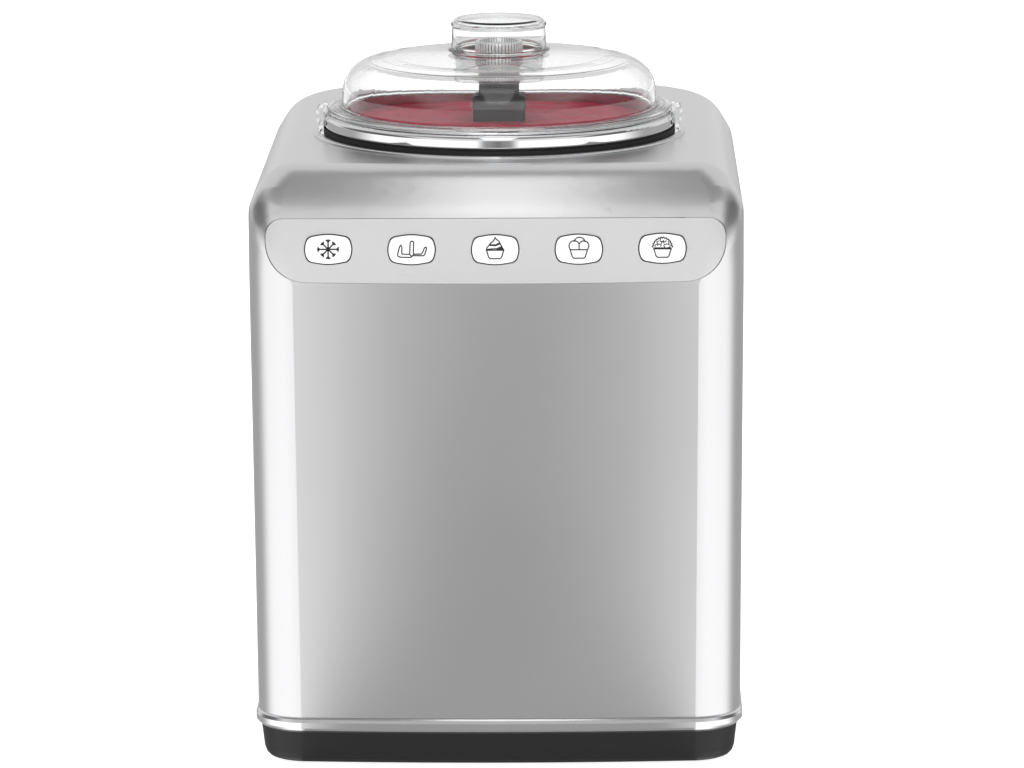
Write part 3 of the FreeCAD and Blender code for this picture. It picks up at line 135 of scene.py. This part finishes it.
# The room is light from each direction. Its edges are where a part of the unit direction passes from one
# value to the other: its rise for a wall's top, and its sideways part for where the sides begin.
FRONT_WALL, BACK_WALL, SIDE_WALL, CEILING = 0.90, 0.80, 0.15, 0.33
FRONT_WALL_TOP = (0.56, 0.70)
BACK_WALL_TOP = (0.91, 0.995)
FRONT_TO_BACK = (-0.10, 0.15)
WALLS_TO_SIDES = (0.70, 0.92)

# The floor as gloss sees it. Bearings are in radians about a front corner of the housing, where 0 is straight
# ahead of it and a right angle is straight out to its side.
CORNER_X, CORNER_Y = 0.105, -0.165           # where the front face turns into its corner
GLOW_REACH = (0.1, 1.1)                      # ahead of the corner, over which the glow in front fades
GLOW_FRONT = (0.40, 0.16)                    # close to the object and further off
GLOW_FRONT_EDGE = (0.66, 0.36)
GLOW_CORNER = 1.42
GLOW_BACK = 0.45
FRONT_TO_EDGE = (-0.12, 0.12)
EDGE_TO_CORNER = (0.10, 0.26)
CORNER_TO_BACK = (1.42, 2.00)
PAPER_GLOW = 0.85
FLOOR_HALF, GLOW_HALF = 15.0, 8.0
GLOW_LIFT = 0.5 * MM                         # above the paper floor

# ---------------------------------------------------------------- numbers that the materials share
FINISH_SUFFIX = "_finish"                    # keeps these apart from the plain materials of the frame
PATCHES_PER_M = 9.0                          # the broad patches over which a finish's roughness changes
FINEST_TINT = 2000.0                         # a grain finer than this, per metre, doesn't tint the colour
NUT_GROOVES = 44.0


# ---------------------------------------------------------------- node trees
class Tree:
    """A shader's node tree, with short calls for the few nodes used here."""

    def __init__(self, tree):
        self.tree = tree

    def feed(self, node, feeds):
        """Sets inputs of a node, by name or number, to values or to other nodes' outputs."""
        for socket, value in feeds.items():
            if isinstance(value, bpy.types.NodeSocket):
                self.tree.links.new(value, node.inputs[socket])
            else:
                node.inputs[socket].default_value = value

    def add(self, kind, feeds=None, **settings):
        """Adds a node and gives its outputs."""
        node = self.tree.nodes.new("ShaderNode" + kind)
        for name, value in settings.items():
            setattr(node, name, value)
        self.feed(node, feeds or {})
        return node.outputs

    def calc(self, operation, *values):
        return self.add("Math", dict(enumerate(values)), operation=operation)[0]

    def split(self, vector):
        return tuple(self.add("SeparateXYZ", {0: vector}))

    def fade(self, value, start, stop, before, after, curve="SMOOTHSTEP"):
        """A smooth change from before to after as value goes from start to stop."""
        feeds = {"Value": value, "From Min": start, "From Max": stop, "To Min": before, "To Max": after}
        return self.add("MapRange", feeds, interpolation_type=curve)[0]

    def wander(self, value, low, high):
        """Takes a noise value, which stays mostly between 0.2 and 0.8, to a value between low and high."""
        return self.fade(value, 0.2, 0.8, low, high, "SMOOTHERSTEP")


class Finish(Tree):
    """A material, with a pattern that is worked out on the object's own coordinates."""

    def __init__(self, name):
        self.material = bpy.data.materials.new(name + FINISH_SUFFIX)
        self.material.use_nodes = True
        super().__init__(self.material.node_tree)
        self.coords = self.add("TexCoord")["Object"]

    def look(self, feeds):
        self.feed(self.tree.nodes["Principled BSDF"], feeds)

    def stretched(self, scale):
        return self.add("Mapping", {"Vector": self.coords, "Scale": scale})["Vector"]

    def noise(self, scale, detail, rough=0.55, vector=None, distortion=0.0):
        feeds = {"Vector": vector or self.coords, "Scale": scale, "Detail": detail, "Roughness": rough,
                 "Distortion": distortion}
        return self.add("TexNoise", feeds)["Fac"]

    def colours(self, value, stops):
        """The colour at value between stops, each of which is a place from 0 to 1 and a colour."""
        node = self.tree.nodes.new("ShaderNodeValToRGB")
        ramp = node.color_ramp
        while len(ramp.elements) < len(stops):
            ramp.elements.new(0.5)
        for element, (place, colour) in zip(ramp.elements, stops):
            element.position = place
            element.color = (*colour, 1)
        self.feed(node, {"Fac": value})
        return node.outputs["Color"]

    def bump(self, height, strength, distance, over=None):
        feeds = {"Height": height, "Strength": strength, "Distance": distance}
        if over:
            feeds["Normal"] = over
        return self.add("Bump", feeds)["Normal"]


# ---------------------------------------------------------------- materials
def lighter(colour, by):
    return tuple(min(1.0, c * (1 + by)) for c in colour)


def plain_finish(name, colour, rough, grain, vary, bump, depth=0.1 * MM, metallic=0.0, stretch=(1, 1, 1),
                 extra=None):
    """Colour and roughness that wander a little, over a fine bump with so many grains to the metre."""
    finish = Finish(name)
    fine = finish.noise(grain, detail=4.0, rough=0.6, vector=finish.stretched(stretch))
    broad = finish.noise(PATCHES_PER_M, detail=1.0, rough=0.5)
    tones = [(0.3, lighter(colour, -vary)), (0.7, lighter(colour, vary))]
    finish.look({"Base Color": finish.colours(fine if grain < FINEST_TINT else broad, tones),
                 "Roughness": finish.wander(broad, *rough),
                 "Metallic": metallic})
    if bump:
        finish.look({"Normal": finish.bump(fine, bump, depth)})
    finish.look(extra or {})
    return finish.material


METALS = {
    "satin_metal": dict(colour=(0.70, 0.70, 0.708), rough=(0.278, 0.296), grain=2600, vary=0.008, bump=0.08,
                        depth=0.04 * MM),
    "polished_steel": dict(colour=(0.78, 0.78, 0.79), rough=(0.035, 0.06), grain=2400, vary=0.01, bump=0.01,
                           depth=0.02 * MM),
    "bowl_steel": dict(colour=(0.66, 0.66, 0.67), rough=(0.20, 0.27), grain=300, vary=0.03, bump=0.05,
                       depth=0.05 * MM, stretch=(1, 1, 14)),
    "trim_metal": dict(colour=(0.74, 0.74, 0.75), rough=(0.14, 0.20), grain=2200, vary=0.02, bump=0.04,
                       depth=0.03 * MM),
    "shaft_steel": dict(colour=(0.52, 0.52, 0.53), rough=(0.18, 0.26), grain=700, vary=0.05, bump=0.06,
                        depth=0.04 * MM, stretch=(1, 1, 0.1)),
    "gear_steel": dict(colour=(0.36, 0.35, 0.34), rough=(0.28, 0.38), grain=900, vary=0.08, bump=0.08,
                       depth=0.05 * MM),
    "cast_alloy": dict(colour=(0.48, 0.48, 0.49), rough=(0.45, 0.60), grain=1100, vary=0.08, bump=0.30,
                       depth=0.12 * MM),
    "bronze": dict(colour=(0.52, 0.33, 0.15), rough=(0.32, 0.42), grain=1200, vary=0.08, bump=0.12,
                   depth=0.06 * MM),
    "copper": dict(colour=(0.72, 0.33, 0.20), rough=(0.28, 0.40), grain=120, vary=0.14, bump=0.06,
                   depth=0.06 * MM),
    "zinc_steel": dict(colour=(0.56, 0.57, 0.55), rough=(0.30, 0.44), grain=240, vary=0.10, bump=0.06,
                       depth=0.05 * MM),
    "fin_aluminium": dict(colour=(0.74, 0.74, 0.75), rough=(0.28, 0.36), grain=800, vary=0.05, bump=0.06,
                          depth=0.04 * MM),
}

OTHERS = {
    "fascia_grey": dict(colour=(0.54, 0.54, 0.54), rough=(0.34, 0.38), grain=2600, vary=0.012, bump=0.06,
                        depth=0.04 * MM, metallic=0.25),
    "button_white": dict(colour=(0.86, 0.86, 0.85), rough=(0.18, 0.24), grain=2200, vary=0.01, bump=0.02,
                         depth=0.03 * MM),
    "base_black": dict(colour=(0.016, 0.016, 0.017), rough=(0.42, 0.50), grain=1500, vary=0.10, bump=0.20,
                       depth=0.08 * MM, extra={"Specular IOR Level": 0.25}),
    "rubber_black": dict(colour=(0.012, 0.012, 0.012), rough=(0.62, 0.72), grain=900, vary=0.10, bump=0.15),
    "hub_plastic": dict(colour=(0.026, 0.026, 0.028), rough=(0.45, 0.52), grain=1600, vary=0.08, bump=0.05,
                        depth=0.03 * MM, extra={"Specular IOR Level": 0.25}),
    "gear_nylon": dict(colour=(0.74, 0.71, 0.62), rough=(0.45, 0.55), grain=900, vary=0.03, bump=0.06,
                       depth=0.08 * MM, extra={"Subsurface Weight": 0.05}),
    "foam": dict(colour=(0.72, 0.66, 0.45), rough=(0.85, 0.95), grain=500, vary=0.10, bump=0.45,
                 depth=0.5 * MM),
    "black_steel": dict(colour=(0.015, 0.015, 0.016), rough=(0.28, 0.36), grain=800, vary=0.12, bump=0.10,
                        depth=0.12 * MM, extra={"Coat Weight": 0.4}),
    "board_green": dict(colour=(0.02, 0.14, 0.05), rough=(0.30, 0.40), grain=260, vary=0.20, bump=0.10,
                        depth=0.06 * MM),
    "switch_black": dict(colour=(0.02, 0.02, 0.021), rough=(0.28, 0.35), grain=1800, vary=0.08, bump=0.08,
                         depth=0.05 * MM),
    "print_black": dict(colour=(0.012, 0.012, 0.012), rough=(0.35, 0.45), grain=1800, vary=0.08, bump=0.04,
                        depth=0.03 * MM),
}


def clear_plastic():
    """For the lid and its cap: a faint grey that adds up along the edges, and a hardly uneven gloss."""
    finish = Finish("clear_plastic")
    finish.look({"Base Color": (0.945, 0.95, 0.95, 1),
                 "Roughness": finish.wander(finish.noise(60.0, detail=2.0), 0.0, 0.025),
                 "Transmission Weight": 1.0,
                 "IOR": 1.46})
    return finish.material


def sorbet():
    """Churned red fruit ice: streaks from deep red to pink over a fine ice grain."""
    finish = Finish("fruit_sorbet")
    stretched = finish.stretched((1.0, 2.6, 1.0))
    streak = finish.noise(22.0, detail=5.0, rough=0.62, vector=stretched, distortion=1.6)
    stops = [(0.30, (0.32, 0.003, 0.020)), (0.48, (0.54, 0.007, 0.045)), (0.60, (0.63, 0.03, 0.09)),
             (0.76, (0.72, 0.16, 0.26))]
    grain = finish.bump(finish.noise(900.0, detail=3.0), strength=0.35, distance=0.2 * MM)
    finish.look({"Base Color": finish.colours(streak, stops),
                 "Roughness": finish.wander(streak, 0.29, 0.46),
                 "Normal": finish.bump(streak, strength=0.5, distance=1.2 * MM, over=grain),
                 "Subsurface Weight": 0.12,
                 "Subsurface Radius": (0.004, 0.001, 0.001),
                 "Specular IOR Level": 0.02})
    return finish.material


def knurled_metal():
    """Pale metal for the hand nut, with painted shade in the grooves of its knurled side and plain on its flat
    faces.
    """
    finish = Finish("nut_metal")
    x, y, _ = finish.split(finish.coords)
    angle = finish.calc("ARCTAN2", finish.calc("SUBTRACT", y, AXIS.y), x)
    wave = finish.calc("COSINE", finish.calc("MULTIPLY", angle, NUT_GROOVES))
    # painted shade: the colour goes dark where the knurl's grooves are, where shade falls in them
    groove_shade = finish.fade(wave, start=0.35, stop=1.0, before=0.95, after=0.10)
    _, _, rise = finish.split(finish.add("TexCoord")["Normal"])
    flat = finish.calc("ABSOLUTE", rise)
    finish.look({"Base Color": finish.fade(flat, start=0.3, stop=0.6, before=groove_shade, after=0.76),
                 "Roughness": finish.wander(finish.noise(40.0, detail=2.0), 0.20, 0.27),
                 "Metallic": 0.3})
    return finish.material


def make_finishes():
    """Every finish, by name, which for the CAD nodes is that of the material slot that it is for."""
    made = [plain_finish(name, metallic=1.0, **values) for name, values in METALS.items()]
    made += [plain_finish(name, **values) for name, values in OTHERS.items()]
    made += [clear_plastic(), knurled_metal(), sorbet()]
    return {material.name.removesuffix(FINISH_SUFFIX): material for material in made}


# ---------------------------------------------------------------- mesh helpers
def new_object(name, bm, material, smooth=True):
    mesh = bpy.data.meshes.new(name)
    bm.normal_update()
    bm.to_mesh(mesh)
    bm.free()
    mesh.materials.append(material)
    for polygon in mesh.polygons:
        polygon.use_smooth = smooth
    obj = bpy.data.objects.new(name, mesh)
    SCENE.collection.objects.link(obj)
    return obj


def add_piece(name, bm, material, body, smooth=True, sharp=math.radians(40)):
    """A piece that rides on body. One that none of the record's material slots fits has no slot."""
    obj = new_object(name, bm, material, smooth)
    if smooth:
        obj.data.set_sharp_from_angle(angle=sharp)
    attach(obj, body)


def bridge(bm, ring, other):
    """Faces between two closed rings of as many corners."""
    for k in range(len(ring)):
        j = (k + 1) % len(ring)
        bm.faces.new((ring[k], ring[j], other[j], other[k]))


# ---------------------------------------------------------------- button pictograms
def slab(bm, corners):
    """A thin closed prism over a flat outline in the XY plane."""
    low = [bm.verts.new((c.x, c.y, 0)) for c in corners]
    high = [bm.verts.new((c.x, c.y, INK_T)) for c in corners]
    bm.faces.new(list(reversed(low)))
    bm.faces.new(high)
    bridge(bm, low, high)


def flat_points(points):
    return [Vector((x * MM, y * MM, 0)) for x, y in points]


def blot(bm, points):
    slab(bm, flat_points(points))


def ribbon(bm, points, width=STROKE, closed=False):
    """A flat stroke of even width along points in mm, with mitred corners."""
    pts = flat_points(points)
    count = len(pts)
    left, right = [], []
    for i, here in enumerate(pts):
        before = pts[i - 1] if i or closed else None
        after = pts[(i + 1) % count] if i < count - 1 or closed else None
        into = (here - before).normalized() if before else (after - here).normalized()
        out = (after - here).normalized() if after else into
        along = (into + out).normalized() if (into + out).length > 1e-6 else into
        across = Vector((-along.y, along.x, 0))
        half = width / 2 / max(MITRE_LIMIT, across.dot(Vector((-into.y, into.x, 0))))
        left.append(here + across * half)
        right.append(here - across * half)
    for i in range(count if closed else count - 1):
        j = (i + 1) % count
        slab(bm, [left[i], right[i], right[j], left[j]])


def arc(cx, cy, r, start, stop, steps=14):
    """Points round part of a circle, from start to stop in degrees."""
    turns = [math.radians(start + (stop - start) * i / steps) for i in range(steps + 1)]
    return [(cx + r * math.cos(turn), cy + r * math.sin(turn)) for turn in turns]


def draw_snowflake(bm):
    for i in range(8):
        turn = math.radians(45 * i)
        ux, uy = math.cos(turn), math.sin(turn)
        reach = SNOWFLAKE_ARMS[i % 4]
        ribbon(bm, [(0, 0), (ux * reach, uy * reach)], SNOWFLAKE_STROKE)
        x, y = ux * (reach - BARB_INSET), uy * (reach - BARB_INSET)
        for barb in (turn - BARB_ANGLE, turn + BARB_ANGLE):
            tip = (x + BARB_LENGTH * math.cos(barb), y + BARB_LENGTH * math.sin(barb))
            ribbon(bm, [(x, y), tip], SNOWFLAKE_STROKE)
    blot(bm, arc(0, 0, SNOWFLAKE_HEART_R, 0, 330, 11))


def draw_paddle(bm):
    ribbon(bm, PADDLE_STEM, closed=True)
    ribbon(bm, PADDLE_LEFT)
    ribbon(bm, PADDLE_RIGHT)


def draw_soft_serve(bm):
    ribbon(bm, CUP, closed=True)
    ribbon(bm, SOFT_SERVE)
    for shade in SOFT_SERVE_SHADES:
        blot(bm, shade)
    ribbon(bm, SOFT_SERVE_FOLD)


def draw_scoops(bm):
    ribbon(bm, CUP, closed=True)
    ribbon(bm, CUP[:1] + arc(*SCOOP_LEFT, 215, 25) + SCOOP_PARTING)
    ribbon(bm, CUP[-1:] + arc(*SCOOP_RIGHT, -35, 155))
    ribbon(bm, arc(*SCOOP_BACK, 172, 8))


def draw_granita(bm):
    ribbon(bm, CUP, closed=True)
    crust = []
    for i in range(CRUST_STEPS + 1):
        turn = math.radians(180 - 180 / CRUST_STEPS * i)
        reach = CRUST_OUT if i % 2 else CRUST_IN
        crust.append((CRUST_R * reach * math.cos(turn), CRUST_BASE + CRUST_RISE * reach * math.sin(turn)))
    ribbon(bm, crust)
    for i, (x, y) in enumerate(CRUMBS):
        ribbon(bm, arc(x, y, CRUMB_R, 50 * i, 50 * i + 230, 6), CRUMB_STROKE)
    blot(bm, GRANITA_SHADE)


PICTOGRAMS = {"button_cool": draw_snowflake, "button_churn": draw_paddle, "button_gelato": draw_soft_serve,
              "button_ice_cream": draw_scoops, "button_granita": draw_granita}


def face_of(node):
    """A button's way out and its way up, its corners, and how far out its face is."""
    outward = -PRESS[node]
    up = outward.cross(SIDEWAYS).normalized()
    corners = [vertex.co for vertex in NODES[node].data.vertices]
    return outward, up, corners, max(c.dot(outward) for c in corners)


def print_pictograms(finishes):
    """Inks each pictogram on its button's face, square to the way the button is pressed."""
    for node, draw in PICTOGRAMS.items():
        outward, up, corners, face_height = face_of(node)
        low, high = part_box(node)
        ups = [c.dot(up) for c in corners if c.dot(outward) > face_height - SAME_LEVEL]
        middle = SIDEWAYS * (low.x + high.x) / 2 + up * (min(ups) + max(ups)) / 2
        place = Matrix.Translation(middle + outward * (face_height - INK_SINK))
        turn = Matrix((SIDEWAYS, up, outward)).transposed().to_4x4()
        bm = bmesh.new()
        draw(bm)
        bmesh.ops.transform(bm, matrix=place @ turn, verts=bm.verts)
        name = node.replace("button", "pictogram")
        add_piece(name, bm, finishes["print_black"], node, smooth=False)


def button_gap_shades(finishes):
    """A thin dark ring in the gap round each button, fixed to the panel, clear of the button's sides: painted
    shade, not a real seal.
    """
    for node in PICTOGRAMS:
        outward, up, corners, face_height = face_of(node)
        side_top = face_height - CAP_ROUNDING
        rim = [c for c in corners if abs(c.dot(outward) - side_top) < SAME_LEVEL]
        middle = sum(rim, Vector()) / len(rim)
        rim.sort(key=lambda c: math.atan2((c - middle).dot(up), c.x - middle.x))
        bm = bmesh.new()
        rings = []
        for gap, below in ((GAP_SHADE_INNER, GAP_SHADE_TOP), (GAP_SHADE_OUTER, GAP_SHADE_TOP), (GAP_SHADE_OUTER, GAP_SHADE_BOTTOM),
                           (GAP_SHADE_INNER, GAP_SHADE_BOTTOM)):
            sink = outward * (below - CAP_ROUNDING)
            rings.append([bm.verts.new(c + (c - middle).normalized() * gap - sink) for c in rim])
        for i, ring in enumerate(rings):
            bridge(bm, ring, rings[(i + 1) % len(rings)])
        bmesh.ops.remove_doubles(bm, verts=bm.verts, dist=0.001 * MM)
        bmesh.ops.recalc_face_normals(bm, faces=bm.faces)
        # painted shade: the black rubber finish here darkens the gap, where shade falls
        add_piece(node.replace("button", "seal"), bm, finishes["rubber_black"], "chassis")


# ---------------------------------------------------------------- what is in the bowl
def dessert_height(t, radius, angle):
    """The dessert's top, t of the way from hub to wall: waves that die out at both, and a dip at the wall."""
    swirl = math.sin(SWIRL_ARMS * angle + SWIRL_TWIST * radius / DESSERT_R)
    x, y = radius * RIPPLES_PER_M * math.cos(angle), radius * RIPPLES_PER_M * math.sin(angle)
    ripple = noise.noise(Vector((x, y, RIPPLE_SLICE)))
    calm = min(1.0, (1 - t) / CALM_WALL) * min(1.0, t / CALM_HUB)
    dip = EDGE_DIP * (1 - min(1.0, (1 - t) / DIP_WALL))
    return DESSERT_TOP + (SWIRL_HEIGHT * swirl + RIPPLE_HEIGHT * ripple) * calm - dip


def ring_corner(bm, radius, angle, z):
    return bm.verts.new((AXIS.x + radius * math.cos(angle), AXIS.y + radius * math.sin(angle), z))


def fill_bowl(finishes):
    """A slab of churned sorbet that turns with the paddle, its top combed into low waves."""
    bm = bmesh.new()
    angles = [2 * math.pi * k / DESSERT_SPOKES for k in range(DESSERT_SPOKES)]
    rings = []
    for i in range(DESSERT_RINGS + 1):
        t = i / DESSERT_RINGS
        radius = DESSERT_HOLE_R + (DESSERT_R - DESSERT_HOLE_R) * t
        rings.append([ring_corner(bm, radius, angle, dessert_height(t, radius, angle)) for angle in angles])
    for radius in (DESSERT_R - WALL_CLEARANCE, DESSERT_HOLE_R + HUB_CLEARANCE):
        rings.append([ring_corner(bm, radius, angle, DESSERT_BOTTOM) for angle in angles])
    for i, ring in enumerate(rings):
        bridge(bm, ring, rings[(i + 1) % len(rings)])
    bmesh.ops.recalc_face_normals(bm, faces=bm.faces)
    add_piece("frozen_dessert", bm, finishes["fruit_sorbet"], "paddle", sharp=math.radians(60))


# ---------------------------------------------------------------- studio
def make_camera():
    data = bpy.data.cameras.new("camera")
    data.sensor_width = SENSOR_WIDTH
    data.lens = FOCAL_LENGTH
    data.clip_end = CAMERA_REACH
    camera = bpy.data.objects.new("camera", data)
    across = Vector((math.cos(CAMERA_YAW), math.sin(CAMERA_YAW), 0))
    away = Vector((-across.y, across.x, 0))
    place = AXIS - away * CAMERA_DISTANCE + across * CAMERA_ASIDE + Vector((0, 0, CAMERA_HEIGHT))
    turn = (Matrix.Rotation(CAMERA_YAW, 4, "Z") @ Matrix.Rotation(math.pi / 2 - CAMERA_DOWN, 4, "X")
            @ Matrix.Rotation(CAMERA_ROLL, 4, "Z"))
    camera.matrix_world = Matrix.Translation(place) @ turn
    SCENE.collection.objects.link(camera)
    SCENE.camera = camera


def area_light(name, place, aim, size, power, glossy=True):
    """A rectangular light. One that isn't glossy doesn't show in reflections."""
    data = bpy.data.lights.new(name, "AREA")
    data.shape = "RECTANGLE"
    data.size, data.size_y = size
    data.energy = power
    light = bpy.data.objects.new(name, data)
    light.location = place
    light.rotation_euler = (Vector(aim) - Vector(place)).to_track_quat("-Z", "Y").to_euler()
    light.visible_camera = False
    light.visible_glossy = glossy
    SCENE.collection.objects.link(light)


def make_room():
    """The studio round the object: bright walls in front and behind, a dim ceiling and dim sides."""
    world = bpy.data.worlds.new("studio")
    SCENE.world = world
    world.use_nodes = True
    room = Tree(world.node_tree)
    x, y, z = room.split(room.add("TexCoord")["Generated"])
    front = room.fade(z, *FRONT_WALL_TOP, FRONT_WALL, CEILING)
    back = room.fade(z, *BACK_WALL_TOP, BACK_WALL, CEILING)
    both = room.fade(y, *FRONT_TO_BACK, front, back)
    light = room.fade(room.calc("ABSOLUTE", x), *WALLS_TO_SIDES, both, SIDE_WALL)
    room.feed(world.node_tree.nodes["Background"], {"Color": WHITE, "Strength": light})


def lay_sheet(name, half, material):
    bm = bmesh.new()
    bmesh.ops.create_grid(bm, x_segments=1, y_segments=1, size=half)
    sheet = new_object(name, bm, material)
    return sheet


def make_floor():
    """A white floor, and over it a light that only gloss sees: grey in front, bright at the front corners."""
    paper = plain_finish("floor_paper", colour=(0.90, 0.90, 0.90), rough=(0.6, 0.7), grain=40, vary=0.004,
                         bump=0, extra={"Emission Color": WHITE, "Emission Strength": PAPER_GLOW})
    lay_sheet("floor", FLOOR_HALF, paper)

    glow = Finish("floor_glow")
    x, y, _ = glow.split(glow.coords)
    aside = glow.calc("SUBTRACT", glow.calc("ABSOLUTE", x), CORNER_X)
    ahead = glow.calc("SUBTRACT", CORNER_Y, y)
    bearing = glow.calc("ARCTAN2", aside, ahead)
    front = glow.fade(ahead, *GLOW_REACH, *GLOW_FRONT)
    edge = glow.fade(ahead, *GLOW_REACH, *GLOW_FRONT_EDGE)
    light = glow.fade(bearing, *FRONT_TO_EDGE, front, edge)
    light = glow.fade(bearing, *EDGE_TO_CORNER, light, GLOW_CORNER)
    light = glow.fade(bearing, *CORNER_TO_BACK, light, GLOW_BACK)
    glow.look({"Emission Strength": light,
               "Emission Color": WHITE,
               "Base Color": BLACK,
               "Specular IOR Level": 0.0})
    card = lay_sheet("floor_glow", GLOW_HALF, glow.material)
    card.location.z = GLOW_LIFT
    for ray in ("camera", "diffuse", "transmission", "shadow"):
        setattr(card, "visible_" + ray, False)


def main():
    make_camera()
    finishes = make_finishes()
    for part in SUBPARTS:
        slots = NODES[part["node"]].data.materials
        slots.clear()
        slots.append(finishes[part["material_slot"]])
    print_pictograms(finishes)
    button_gap_shades(finishes)
    fill_bowl(finishes)
    make_room()
    make_floor()
    for light in LIGHTS:
        area_light(**light)
    SCENE.view_settings.view_transform = "Standard"


main()
